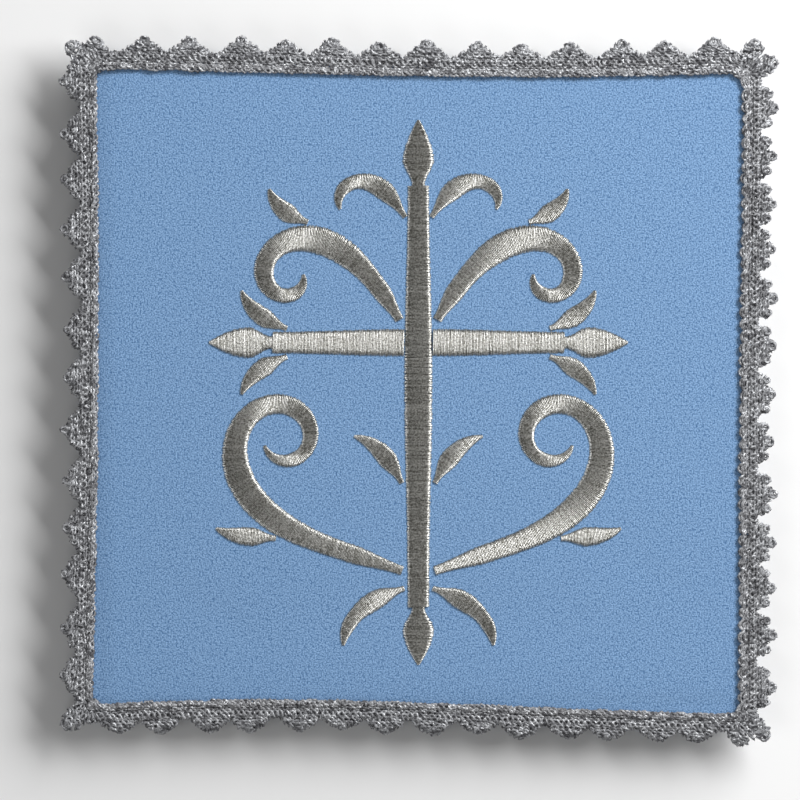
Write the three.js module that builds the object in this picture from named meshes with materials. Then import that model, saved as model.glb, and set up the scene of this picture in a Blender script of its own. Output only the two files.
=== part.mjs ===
// A chalice pall: a stiffened square of crepe edged with scalloped metal lace and worked with a
// raised satin-stitch cross. It lies face up on its plain underside, with +Y towards the top of
// the cross. Millimetres, +Z up.
import * as THREE from 'three';

// Driving dimensions
const GAP = 0.3; // clearance between neighbouring pieces
const PANEL_THICKNESS = 3.0; // cloth folded over its stiffener
const PANEL_EDGE_RADIUS = 1.2; // soft turned edge of the cloth
const PANEL_CORNER_RADIUS = 2.5; // rounding of the panel's corners, seen from above
const SEAM_MARGIN = 3.0; // cloth covered by the lace heading
const HEADING_WIDTH = 5.4; // straight part of the lace, up to the foot of the scallops
const HEADING_FULLNESS = 0.25; // share by which the heading widens around a corner
const SCALLOP_DEPTH = 4.3; // from the heading to a scallop's tip
const SCALLOP_SHIFT = 0.7; // how far hand sewing pushes a scallop along the edge
const SCALLOP_UNEVEN = 0.5; // how much a scallop's depth varies
const SIDE_SEEDS = 20; // numbers set aside for each side's unevenness
const TURNING_RADIUS = 6.0; // where the lace keeps its length as it is eased around a corner
const TURNING_HOLE = 0.8; // innermost radius of the lace as it turns
const LACE_STEP = 1.15; // spacing of the lace's sections
const STITCH_BASE = 0.3; // height of the stitching where a stroke is thinnest
const STITCH_CROWN = 0.06; // further height for each millimetre of a stroke's width
const STITCH_SHOULDER = { across: 0.62, height: 0.74 }; // shares of the half width and the crown
const STITCH_STEP = 2.3; // spacing of a stroke's sections
const POINT_EASING = 1.7; // how long a stroke stays full before its pointed tip

// Materials
const CREPE = new THREE.MeshStandardMaterial({ color: 0x7a9fc6, roughness: 0.9, metalness: 0 });
const LACE_THREAD = new THREE.MeshStandardMaterial({ color: 0x85878b, roughness: 0.45, metalness: 0.8 });
const SATIN_THREAD = new THREE.MeshStandardMaterial({ color: 0xc4c0b4, roughness: 0.35, metalness: 0.85 });

// Corners of the cloth that shows inside the lace, clockwise from the top left.
const FIELD_CORNERS = [
  { x: -80.0, y: 79.8 },
  { x: 80.7, y: 78.8 },
  { x: 79.5, y: -80.3 },
  { x: -81.0, y: -77.9 },
];

// Each side runs from its own corner to the next. The sewing draws its edge in, deepest at a
// fraction of its length. Its scallops lie from the first to the last. At each end the lace is
// swept around the corner by some degrees, with an ear at a smaller angle, or none.
const SIDE_ROWS = [
  { name: 'top', drawnIn: 1.3, deepestAt: 0.6, scallops: 13, first: 11.4, last: 153.9 },
  { name: 'right', drawnIn: 0.3, deepestAt: 0.5, scallops: 13, first: 8.1, last: 152.4 },
  { name: 'bottom', drawnIn: 1.9, deepestAt: 0.65, scallops: 14, first: 9.1, last: 154.6 },
  { name: 'left', drawnIn: 0.9, deepestAt: 0.5, scallops: 13, first: 6.5, last: 155.0 },
];
const SWEEP_ROWS = [
  { side: 'top', startSweep: 26, startEar: 3, endSweep: 45, endEar: 21 },
  { side: 'right', startSweep: 45, startEar: 20, endSweep: 63, endEar: 39 },
  { side: 'bottom', startSweep: 27, startEar: 3, endSweep: 80, endEar: 52 },
  { side: 'left', startSweep: 10, startEar: null, endSweep: 64, endEar: 41 },
];

// A scallop is a broad shoulder with a narrow head on it, each with its share of the depth, its half
// width and its roundness: 1 is a plain triangle, 2 a parabola. An ear is one lobe.
const SCALLOP_LOBES = [
  { share: 0.55, halfWidth: 5.4, roundness: 8 },
  { share: 1, halfWidth: 2.5, roundness: 2 },
];
const EAR_LOBE = { depth: 3.4, halfWidth: 3.0, roundness: 1.7 };

// Section of the lace above its flat underside: the scallop's ridge, then the rows of the heading.
const LACE_OUTER_HEIGHT = 0.7;
const SCALLOP_RIDGE = { along: 0.5, height: 1.15 };
const LACE_ROWS = [
  { out: 4.6, height: 0.95 },
  { out: 2.4, height: 1.3 },
];
const LACE_INNER_HEIGHT = 0.7;

// Width of a stroke along its length, eased between the stops.
const STROKE_WIDTHS = {
  bar: [{ at: 0, width: 5.2 }, { at: 0.45, width: 6.8 }, { at: 1, width: 5.2 }],
  arm: [{ at: 0, width: 6.6 }, { at: 1, width: 5.2 }],
  bud: [{ at: 0, width: 3.0 }, { at: 0.38, width: 7.6 }, { at: 1, width: 0.6 }],
  leaf: [{ at: 0, width: 1.2 }, { at: 0.42, width: 4.6 }, { at: 1, width: 0.6 }],
  curl: [{ at: 0, width: 1.2 }, { at: 0.35, width: 4.8 }, { at: 0.72, width: 3.4 }, { at: 1, width: 0.6 }],
  scroll: [
    { at: 0, width: 2.2 },
    { at: 0.14, width: 4.6 },
    { at: 0.42, width: 6.8 },
    { at: 0.72, width: 4.8 },
    { at: 0.9, width: 3.4 },
    { at: 1, width: 0.6 },
  ],
};

// Strokes of the cross. A stroke starts at x, y with a heading in degrees. It is straight, or it
// bends by degrees for each millimetre, from the first bend to the last, sooner or later by tighten.
const SINGLE_STROKES = [
  { name: 'upright', widths: 'bar', x: 0, y: 51, heading: -90, length: 105 },
  { name: 'top_bud', widths: 'bud', x: 0, y: 51.4, heading: 90, length: 16 },
  { name: 'foot_bud', widths: 'bud', x: 0, y: -54.4, heading: -90, length: 14 },
];
const PAIRED_STROKES = [
  { name: 'arm', widths: 'arm', x: 3.8, y: 12, heading: 0, length: 32.5 },
  { name: 'arm_bud', widths: 'bud', x: 36.7, y: 12, heading: 0, length: 15.5 },
  { name: 'arm_leaf_up', widths: 'leaf', x: 33, y: 15.6, heading: 20, length: 15, bends: [1, 6] },
  { name: 'arm_leaf_down', widths: 'leaf', x: 33, y: 8.4, heading: -20, length: 15, bends: [-1, -6] },
  { name: 'top_curl', widths: 'curl', x: 3.4, y: 43.5, heading: 56, length: 25, bends: [0.5, -14.5] },
  { name: 'stem_leaf', widths: 'leaf', x: 4.2, y: -23, heading: 64, length: 17, bends: [-1, -5] },
  { name: 'foot_leaf', widths: 'curl', x: 3.7, y: -49.5, heading: -18, length: 22, bends: [-0.5, -6] },
];
const SCROLL_STROKES = [
  { name: 'upper_scroll', x: 4.8, y: 17.8, heading: 60, length: 64, bends: [-0.6, -15], tighten: 2 },
  { name: 'lower_scroll', x: 4.2, y: -45, heading: 20, length: 102, bends: [-0.3, 11], tighten: 1.6 },
];

// A leaf springs from the outer side of a scroll, left or right of its way, at a share of its length.
const SPRIG_STROKES = [
  { name: 'upper_leaf', scroll: 'upper_scroll', at: 0.5, side: 1, lean: 14, length: 13, bends: [2, 7] },
  { name: 'lower_leaf', scroll: 'lower_scroll', at: 0.3, side: -1, lean: -24, length: 15, bends: [-2, 5] },
];

const radians = THREE.MathUtils.degToRad;

// A repeatable unevenness between -1 and 1.
function uneven(number) {
  const wander = 4.1 * Math.sin(7.7 * number);
  return Math.sin(12.9 * number + wander);
}

// A closed body through sections of equal point counts, its two ends closed to their middles.
function loft(sections) {
  const count = sections[0].length;
  const points = sections.flat();
  const faces = [];
  for (let row = 0; row + 1 < sections.length; row += 1) {
    for (let k = 0; k < count; k += 1) {
      const a = row * count + k;
      const b = row * count + (k + 1) % count;
      faces.push([a, b, b + count], [a, b + count, a + count]);
    }
  }
  const lastStart = (sections.length - 1) * count;
  const firstMiddle = points.push(middle(sections[0])) - 1;
  const lastMiddle = points.push(middle(sections.at(-1))) - 1;
  for (let k = 0; k < count; k += 1) {
    const next = (k + 1) % count;
    faces.push([firstMiddle, next, k], [lastMiddle, lastStart + k, lastStart + next]);
  }
  const coordinates = points.flatMap((point) => [point.x, point.y, point.z]);
  const geometry = new THREE.BufferGeometry();
  geometry.setAttribute('position', new THREE.Float32BufferAttribute(coordinates, 3));
  geometry.setIndex(faces.flat());
  geometry.computeVertexNormals();
  return geometry;
}

function middle(section) {
  const sum = section.reduce((total, point) => total.add(point), new THREE.Vector3());
  return sum.divideScalar(section.length);
}

// The four sides of the field, with their directions, lengths and the turns of their lace.
const sides = SIDE_ROWS.map((row, index) => {
  const start = new THREE.Vector2().copy(FIELD_CORNERS[index]);
  const end = new THREE.Vector2().copy(FIELD_CORNERS[(index + 1) % SIDE_ROWS.length]);
  const along = end.clone().sub(start);
  const length = along.length();
  along.normalize();
  const outward = new THREE.Vector2(-along.y, along.x);
  const sweep = SWEEP_ROWS.find((candidate) => candidate.side === row.name);
  return { ...row, ...sweep, index, start, length, along, outward };
});

// A point at a distance along a side and a distance out from its drawn-in edge. Past a corner the
// way out turns about it.
function sidePoint(side, distance, out, z) {
  const onEdge = THREE.MathUtils.clamp(distance, 0, side.length);
  const skew = Math.log(0.5) / Math.log(side.deepestAt);
  const drawn = side.drawnIn * Math.sin(Math.PI * (onEdge / side.length) ** skew);
  const turn = (onEdge - distance) / TURNING_RADIUS;
  const wayOut = side.outward.clone().rotateAround(new THREE.Vector2(), turn);
  const point = side.start.clone().addScaledVector(side.along, onEdge);
  point.addScaledVector(side.outward, -drawn).addScaledVector(wayOut, out);
  return new THREE.Vector3(point.x, point.y, z);
}

// The panel's outline at a distance out from the field, with rounded corners.
function panelRing(out, z) {
  const stepsPerSide = 10;
  const stepsPerCorner = 4;
  const ring = [];
  for (const side of sides) {
    const next = sides[(side.index + 1) % sides.length];
    const first = PANEL_CORNER_RADIUS;
    const last = side.length - first;
    for (let k = 0; k <= stepsPerSide; k += 1) {
      ring.push(sidePoint(side, first + (last - first) * k / stepsPerSide, out, z));
    }
    const corner = sidePoint(side, side.length + TURNING_RADIUS * Math.PI / 4, out * Math.SQRT2, z);
    const bend = new THREE.QuadraticBezierCurve3(ring.at(-1), corner, sidePoint(next, first, out, z));
    ring.push(...bend.getPoints(stepsPerCorner).slice(1, -1));
  }
  return ring.reverse();
}

// The cloth panel: flat faces and a soft turned edge.
function clothPanel() {
  const edgeSteps = 3;
  const quarters = [];
  for (let k = 0; k <= edgeSteps; k += 1) {
    const angle = Math.PI / 2 * k / edgeSteps;
    const inset = PANEL_EDGE_RADIUS * (1 - Math.sin(angle));
    quarters.push({ out: SEAM_MARGIN - inset, rise: PANEL_EDGE_RADIUS * (1 - Math.cos(angle)) });
  }
  const lower = quarters.map((row) => panelRing(row.out, row.rise));
  const upper = quarters.map((row) => panelRing(row.out, PANEL_THICKNESS - row.rise)).reverse();
  return loft([...lower, ...upper]);
}

// The lobes of a side's scallops and ears: where each lies, how far it stands out and its form.
function laceLobes(side) {
  const pitch = (side.last - side.first) / (side.scallops - 1);
  const lobes = [];
  for (let k = 0; k < side.scallops; k += 1) {
    const seed = k + SIDE_SEEDS * side.index;
    const at = side.first + k * pitch + SCALLOP_SHIFT * uneven(seed);
    const depth = SCALLOP_DEPTH + SCALLOP_UNEVEN * uneven(seed + 0.5);
    lobes.push(...SCALLOP_LOBES.map((lobe) => ({ ...lobe, at, depth: depth * lobe.share })));
  }
  if (side.startEar !== null) {
    lobes.push({ ...EAR_LOBE, at: -TURNING_RADIUS * radians(side.startEar) });
  }
  if (side.endEar !== null) {
    lobes.push({ ...EAR_LOBE, at: side.length + TURNING_RADIUS * radians(side.endEar) });
  }
  return lobes;
}

// Width of the heading, fuller where it turns a corner.
function headingWidth(side, distance) {
  const past = Math.max(0, -distance, distance - side.length) / TURNING_RADIUS;
  return HEADING_WIDTH * (1 + HEADING_FULLNESS * Math.sin(2 * past));
}

function lobeReach(lobes, distance) {
  const reaches = lobes.map((lobe) => {
    const across = Math.abs(distance - lobe.at) / lobe.halfWidth;
    return lobe.depth * Math.max(0, 1 - across ** lobe.roundness);
  });
  return Math.max(...reaches);
}

// One strip of lace over the cloth's margin, swept around its corners up to the next strip.
function laceStrip(side) {
  const underside = PANEL_THICKNESS + GAP;
  const lobes = laceLobes(side);
  const first = -TURNING_RADIUS * radians(side.startSweep);
  const last = side.length + TURNING_RADIUS * radians(side.endSweep);
  const steps = Math.ceil((last - first) / LACE_STEP);
  const sections = [];
  for (let k = 0; k <= steps; k += 1) {
    const distance = first + (last - first) * k / steps;
    sections.push(laceSection(side, lobes, distance, underside));
  }
  return loft(sections);
}

// A section of lace from its outer edge to its inner one. It keeps half a gap from the seams at
// the ends of its strip.
function laceSection(side, lobes, distance, underside) {
  const heading = headingWidth(side, distance);
  const reach = heading + lobeReach(lobes, distance);
  const turned = distance < 0 || distance > side.length;
  const inner = turned ? TURNING_HOLE : 0;
  const fuller = heading / HEADING_WIDTH;
  const foot = LACE_ROWS[0].out * fuller;
  const ridge = foot + (reach - foot) * SCALLOP_RIDGE.along;
  const profile = [
    { out: reach, height: 0 },
    { out: reach, height: LACE_OUTER_HEIGHT },
    { out: ridge, height: SCALLOP_RIDGE.height },
    ...LACE_ROWS.map((row) => ({ out: row.out * fuller, height: row.height })),
    { out: inner, height: LACE_INNER_HEIGHT },
    { out: inner, height: 0 },
  ];
  const clear = seamShift(side, distance);
  return profile.map((row) => sidePoint(side, distance, row.out, underside + row.height).add(clear));
}

// The small step that keeps a turned section clear of the neighbouring strip.
function seamShift(side, distance) {
  const atStart = distance < 0;
  if (!atStart && distance <= side.length) {
    return new THREE.Vector3();
  }
  const sweep = radians(atStart ? side.startSweep : -side.endSweep);
  const away = side.along.clone().rotateAround(new THREE.Vector2(), sweep);
  away.multiplyScalar(atStart ? GAP / 2 : -GAP / 2);
  return new THREE.Vector3(away.x, away.y, 0);
}

// The middle line of a stroke: points with the heading and the width there.
function strokePath(row) {
  const fewestSteps = 6;
  const finer = 8;
  const steps = Math.max(fewestSteps, Math.ceil(row.length / STITCH_STEP));
  const step = row.length / (steps * finer);
  const [firstBend, lastBend] = row.bends ?? [0, 0];
  const point = new THREE.Vector2(row.x, row.y);
  let heading = radians(row.heading);
  const path = [];
  for (let k = 0; k <= steps * finer; k += 1) {
    const at = k / (steps * finer);
    if (k % finer === 0) {
      path.push({ at, x: point.x, y: point.y, heading, width: strokeWidth(row.widths, at) });
    }
    const bend = firstBend + (lastBend - firstBend) * at ** (row.tighten ?? 1);
    const turn = radians(bend) * step;
    point.x += step * Math.cos(heading + turn / 2);
    point.y += step * Math.sin(heading + turn / 2);
    heading += turn;
  }
  return path;
}

function strokeWidth(name, at) {
  const stops = STROKE_WIDTHS[name];
  const last = Math.max(1, stops.findIndex((stop) => stop.at >= at));
  const before = stops[last - 1];
  const after = stops[last];
  const fraction = (at - before.at) / (after.at - before.at);
  const pointed = after.width < 1;
  const eased = pointed ? fraction ** POINT_EASING : (1 - Math.cos(Math.PI * fraction)) / 2;
  return before.width + (after.width - before.width) * eased;
}

const scrolls = SCROLL_STROKES.map((row) => ({ ...row, widths: 'scroll' }));

// The full row of a leaf, rooted beside its scroll.
function sprig(row) {
  const scroll = scrolls.find((candidate) => candidate.name === row.scroll);
  const path = strokePath(scroll);
  const root = path[Math.round(row.at * (path.length - 1))];
  const out = root.width / 2 + GAP + strokeWidth('leaf', 0) / 2;
  const x = root.x - row.side * out * Math.sin(root.heading);
  const y = root.y + row.side * out * Math.cos(root.heading);
  return { ...row, widths: 'leaf', x, y, heading: THREE.MathUtils.radToDeg(root.heading) + row.lean };
}

// One stitched stroke: flat below, crowned above, thinning to its tip.
function strokeBody(row, mirror) {
  const base = PANEL_THICKNESS + GAP;
  const sections = strokePath(row).map((point) => {
    const half = point.width / 2;
    const crown = STITCH_BASE + STITCH_CROWN * point.width;
    const shoulder = { across: STITCH_SHOULDER.across * half, height: STITCH_SHOULDER.height * crown };
    const profile = [
      { across: half, height: 0 },
      { across: shoulder.across, height: shoulder.height },
      { across: 0, height: crown },
      { across: -shoulder.across, height: shoulder.height },
      { across: -half, height: 0 },
    ];
    return profile.map((spot) => {
      const x = point.x - spot.across * mirror * Math.sin(point.heading);
      const y = point.y + spot.across * mirror * Math.cos(point.heading);
      return new THREE.Vector3(mirror * x, y, base + spot.height);
    });
  });
  return loft(sections);
}

// The pall, centred over its own middle.
const pall = new THREE.Group();

function addPiece(name, geometry, material) {
  const mesh = new THREE.Mesh(geometry, material);
  mesh.name = name;
  pall.add(mesh);
}

addPiece('cloth_panel', clothPanel(), CREPE);
for (const side of sides) {
  addPiece(`lace_${side.name}`, laceStrip(side), LACE_THREAD);
}
for (const row of SINGLE_STROKES) {
  addPiece(row.name, strokeBody(row, 1), SATIN_THREAD);
}
for (const row of [...PAIRED_STROKES, ...scrolls, ...SPRIG_STROKES.map(sprig)]) {
  addPiece(`${row.name}_right`, strokeBody(row, 1), SATIN_THREAD);
  addPiece(`${row.name}_left`, strokeBody(row, -1), SATIN_THREAD);
}
const centre = new THREE.Box3().setFromObject(pall).getCenter(new THREE.Vector3());
pall.position.set(-centre.x, -centre.y, 0);

export default pall;
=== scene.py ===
# A chalice pall lying face up: crepe over a stiffener, edged with scalloped metal lace and worked
# with a raised satin-stitch cross. Shapes are worked out in millimetres, and meshes are in metres.
import math

import bpy
import numpy as np
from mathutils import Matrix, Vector


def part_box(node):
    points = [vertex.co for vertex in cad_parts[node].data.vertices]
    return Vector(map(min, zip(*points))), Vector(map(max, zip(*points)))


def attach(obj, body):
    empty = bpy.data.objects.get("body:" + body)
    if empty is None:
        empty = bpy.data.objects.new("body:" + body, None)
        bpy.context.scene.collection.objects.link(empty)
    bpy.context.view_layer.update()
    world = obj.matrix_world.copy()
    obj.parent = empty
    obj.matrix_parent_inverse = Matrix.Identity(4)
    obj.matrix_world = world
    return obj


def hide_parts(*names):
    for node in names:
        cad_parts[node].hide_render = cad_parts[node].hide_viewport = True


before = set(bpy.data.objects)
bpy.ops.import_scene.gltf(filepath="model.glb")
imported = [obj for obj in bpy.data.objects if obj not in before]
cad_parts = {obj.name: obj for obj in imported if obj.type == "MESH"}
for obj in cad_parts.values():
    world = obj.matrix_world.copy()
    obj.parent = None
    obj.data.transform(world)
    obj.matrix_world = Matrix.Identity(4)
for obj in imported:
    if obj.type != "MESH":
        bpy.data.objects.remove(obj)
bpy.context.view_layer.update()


# Crepe panel
# A square of pale blue crepe turned over a thin stiffener, with a plain underside of the same
# cloth. Sewing the lace on has drawn its sides in, and it lies almost flat.
MM = 0.001
UPRIGHT_MIDDLE = np.array((0.0, -1.5))  # of the cross, measured from the field's own origin
PANEL_THICKNESS = 3.0
PANEL_EDGE_RADIUS = 1.2
PANEL_CORNER_RADIUS = 2.5
SEAM_MARGIN = 3.0  # cloth that the lace covers
EDGE_LINES = (0.0, 0.16, 0.44, 0.78, 1.2)  # mesh lines over the turned edge
CREPE_STEP = 0.70  # mesh lines over the face, fine enough for the crepe's pebbles
UNDERSIDE_EVERY = 4  # the plain underside keeps one line in four
CREPE_HEIGHT = 0.005  # of the pebbles
CREPE_SEED = 5
FACE_STARTS = 0.5  # share of the turned edge that stays free of pebbles and waves
PEBBLE_PAINTED_LIGHT = 0.02  # how much lighter pebbles, grain and crinkle make the cloth, as painted light and shade
GRAIN_TONE_AND_SHADE = 1.9
GRAIN_SCALE = 2900
CRINKLE_TONE_AND_SHADE = 0.65
CRINKLE_MIDDLE = 0.45
CRINKLE_SCALE = 1900
# The crepe's palest colour, with painted light on its pebbles, and its deepest, with painted shade in its
# hollows.
CREPE_PALE_AND_LIT = (0.270, 0.440, 0.690, 1.0)
CREPE_DEEP_AND_SHADED = (0.060, 0.150, 0.310, 1.0)

# Corners of the cloth that shows inside the lace, clockwise from the top left.
FIELD_CORNERS = np.array([(-80.0, 79.8), (80.7, 78.8), (79.5, -80.3), (-81.0, -77.9)])
# How far the sewing draws each side in, deepest at a share of its length.
SIDE_ROWS = [
    {"name": "top", "drawn_in": 1.3, "deepest_at": 0.6},
    {"name": "right", "drawn_in": 0.3, "deepest_at": 0.5},
    {"name": "bottom", "drawn_in": 1.9, "deepest_at": 0.65},
    {"name": "left", "drawn_in": 0.9, "deepest_at": 0.5},
]
# Soft ridges and troughs of the cloth: the middle, the way it runs, its half length and width. The
# last two run under the lace on the left and at the bottom, where it draws the cloth down.
CLOTH_WAVES = [
    {"x": 0, "y": -69, "degrees": 0, "long": 90, "wide": 6, "rise": 0.10},
    {"x": -6, "y": -57, "degrees": 1, "long": 70, "wide": 6, "rise": -0.09},
    {"x": -53, "y": -55, "degrees": -32, "long": 16, "wide": 4, "rise": -0.09},
    {"x": 58, "y": -46, "degrees": -30, "long": 15, "wide": 4, "rise": -0.10},
    {"x": 62, "y": -30, "degrees": -10, "long": 22, "wide": 7, "rise": 0.09},
    {"x": -60, "y": 56, "degrees": 25, "long": 25, "wide": 8, "rise": 0.05},
    {"x": 60, "y": 40, "degrees": -50, "long": 30, "wide": 8, "rise": 0.05},
    {"x": -81, "y": 0, "degrees": 90, "long": 150, "wide": 3, "rise": -0.62},
    {"x": 0, "y": -79.5, "degrees": 0, "long": 150, "wide": 3, "rise": -0.4},
]

low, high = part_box("upright")
place = np.array(((low + high) / 2)[:2]) / MM - UPRIGHT_MIDDLE

sides = []
for index, row in enumerate(SIDE_ROWS):
    start = FIELD_CORNERS[index] + place
    reach = FIELD_CORNERS[(index + 1) % 4] + place - start
    length = np.linalg.norm(reach)
    along = reach / length
    outward = np.array((-along[1], along[0]))
    sides.append({**row, "start": start, "length": length, "along": along, "outward": outward})


def drawn_in(side, share):
    """How far a side is drawn in at a share of its length."""
    skew = math.log(0.5) / math.log(side["deepest_at"])
    return side["drawn_in"] * np.sin(np.pi * share**skew)


def new_piece(name, points, faces=(), edges=()):
    """A mesh object from points in millimetres."""
    mesh = bpy.data.meshes.new(name)
    mesh.from_pydata((np.asarray(points) * MM).tolist(), edges, faces)
    piece = bpy.data.objects.new(name, mesh)
    bpy.context.scene.collection.objects.link(piece)
    return piece


def mesh_lines(length):
    """Places of the mesh lines across the panel, close together over the turned edges."""
    edge = np.array(EDGE_LINES)
    count = round((length - 2 * edge[-1]) / CREPE_STEP / UNDERSIDE_EVERY) * UNDERSIDE_EVERY
    face = np.linspace(edge[-1], length - edge[-1], count + 1)
    return np.concatenate((edge[:-1], face, (length - edge[:-1])[::-1]))


def kept_lines(count):
    """Numbers of the lines that the underside keeps."""
    edge = len(EDGE_LINES) - 1
    face = range(edge, count - edge, UNDERSIDE_EVERY)
    return np.array([*range(edge), *face, *range(count - edge, count)])


def panel_outline(outlines, across, down):
    """Points of the panel from shares across and down, between its four drawn-in sides."""
    corners = [outlines[k](np.array(0.0)) for k in range(4)]
    top, bottom = outlines[0](across), outlines[2](1 - across)
    left, right = outlines[3](1 - down), outlines[1](down)
    u, v = across[..., None], down[..., None]
    between_corners = (
        (1 - v) * ((1 - u) * corners[0] + u * corners[1]) + v * ((1 - u) * corners[3] + u * corners[2])
    )
    return (1 - v) * top + v * bottom + (1 - u) * left + u * right - between_corners


def side_outline(side, start, end):
    """The outer edge of the panel along one side, as a function of the share of its length."""
    def edge(share):
        share = np.asarray(share)[..., None]
        return start + (end - start) * share - side["outward"] * drawn_in(side, share)
    return edge


def cloth_waves(x, y):
    """Height of the soft ridges and troughs."""
    total = np.zeros_like(x)
    for wave in CLOTH_WAVES:
        turn = math.radians(wave["degrees"])
        from_x, from_y = x - place[0] - wave["x"], y - place[1] - wave["y"]
        on = (from_x * math.cos(turn) + from_y * math.sin(turn)) / wave["long"]
        off = (from_y * math.cos(turn) - from_x * math.sin(turn)) / wave["wide"]
        total += wave["rise"] * np.exp(-(on**2) - off**2)
    return total


def rounded_corners(left, top, width, height):
    """Moves mesh places into rounded corners, and gives the distance in from the rounded edge."""
    radius = PANEL_CORNER_RADIUS
    near_x, near_y = np.minimum(left, width - left), np.minimum(top, height - top)
    x, y = np.clip(1 - near_x / radius, 0, 1), np.clip(1 - near_y / radius, 0, 1)
    round_x, round_y = x * np.sqrt(1 - y**2 / 2), y * np.sqrt(1 - x**2 / 2)
    in_corner = (x > 0) & (y > 0)
    new_x = np.where(in_corner, radius * (1 - round_x), near_x)
    new_y = np.where(in_corner, radius * (1 - round_y), near_y)
    inset = np.where(in_corner, radius * (1 - np.hypot(round_x, round_y)), np.minimum(near_x, near_y))
    left = np.where(left < width / 2, new_x, width - new_x)
    top = np.where(top < height / 2, new_y, height - new_y)
    return left, top, np.maximum(inset, 0)


def crepe_panel():
    """The panel's closed mesh, with the crepe's pebbles kept as an attribute of its points."""
    corners = [
        side["start"] + SEAM_MARGIN * (side["outward"] + sides[k - 1]["outward"])
        for k, side in enumerate(sides)
    ]
    outlines = [side_outline(side, corners[k], corners[(k + 1) % 4]) for k, side in enumerate(sides)]
    width, height = (np.linalg.norm(corners[k + 1] - corners[k]) for k in (0, 1))
    columns, rows = mesh_lines(width), mesh_lines(height)
    left, top = np.meshgrid(columns, rows)
    left, top, inset = rounded_corners(left, top, width, height)
    plan = panel_outline(outlines, left / width, top / height)
    x, y = plan[..., 0], plan[..., 1]
    fall = PANEL_EDGE_RADIUS - np.clip(inset, 0, PANEL_EDGE_RADIUS)
    turned = PANEL_EDGE_RADIUS - np.sqrt(PANEL_EDGE_RADIUS**2 - fall**2)
    grain = np.random.default_rng(CREPE_SEED).standard_normal(x.shape)
    on_face = np.clip(inset / PANEL_EDGE_RADIUS - FACE_STARTS, 0, 1)
    upper = PANEL_THICKNESS - turned + on_face * (CREPE_HEIGHT * grain + cloth_waves(x, y))

    number = np.arange(x.size).reshape(x.shape)
    cells = (number[:-1, :-1], number[1:, :-1], number[1:, 1:], number[:-1, 1:])
    faces = np.stack(cells, -1).reshape(-1, 4).tolist()
    kept = np.ix_(kept_lines(len(rows)), kept_lines(len(columns)))
    below = np.full(x.shape, -1)
    below[kept] = x.size + np.arange(below[kept].size).reshape(below[kept].shape)
    under = below[kept]
    cells = (under[:-1, :-1], under[:-1, 1:], under[1:, 1:], under[1:, :-1])
    faces += np.stack(cells, -1).reshape(-1, 4).tolist()
    both = np.stack((number, below))
    top_right = (both[:, 0, :-1], both[:, :-1, -1])
    bottom_left = (both[:, -1, :0:-1], both[:, :0:-1, 0])
    ring = np.concatenate((*top_right, *bottom_left, both[:, 0, :1]), axis=1)
    stops = np.flatnonzero(ring[1] >= 0)
    for first, last in zip(stops[:-1], stops[1:]):
        faces.append([*ring[0, first:last + 1].tolist(), int(ring[1, last]), int(ring[1, first])])

    face_points = np.stack((x, y, upper), -1).reshape(-1, 3)
    under_points = np.stack((x[kept], y[kept], turned[kept]), -1).reshape(-1, 3)
    panel = new_piece("crepe_panel", np.concatenate((face_points, under_points)), faces)
    panel.data.shade_smooth()
    pebbles = panel.data.attributes.new("pebbles", "FLOAT", "POINT")
    pebbles.data.foreach_set("value", np.concatenate((grain.ravel(), np.zeros(len(under_points)))))
    return panel


class Wire:
    """A socket of a node tree: arithmetic on it adds Math nodes, and node() adds any other kind."""

    def __init__(self, tree, socket=None):
        self.tree = tree
        self.socket = socket

    def node(self, kind, settings=None, values=None, output=0):
        """Adds a node with its settings, then the values or wires of its sockets."""
        made = self.tree.nodes.new(kind)
        for name, value in (settings or {}).items():
            setattr(made, name, value)
        for key, value in (values or {}).items():
            if isinstance(value, Wire):
                self.tree.links.new(value.socket, made.inputs[key])
            else:
                made.inputs[key].default_value = value
        return Wire(self.tree, made.outputs[output] if made.outputs else None)

    def math(self, operation, first, second=0.0):
        return self.node("ShaderNodeMath", {"operation": operation}, {0: first, 1: second})

    def __add__(self, other):
        return self.math("ADD", self, other)

    def __sub__(self, other):
        return self.math("SUBTRACT", self, other)

    def __rsub__(self, other):
        return self.math("SUBTRACT", other, self)

    def __mul__(self, other):
        return self.math("MULTIPLY", self, other)

    def __pow__(self, other):
        return self.math("POWER", self, other)

    __radd__ = __add__
    __rmul__ = __mul__


def new_material(name):
    """An empty material and a wire to start its nodes from."""
    material = bpy.data.materials.new(name)
    material.use_nodes = True
    material.node_tree.nodes.clear()
    return material, Wire(material.node_tree)


def mixed(share, first, second):
    """A colour between two others."""
    return share.node("ShaderNodeMix", {"data_type": "RGBA"}, {0: share, 6: first, 7: second}, output=2)


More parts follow.
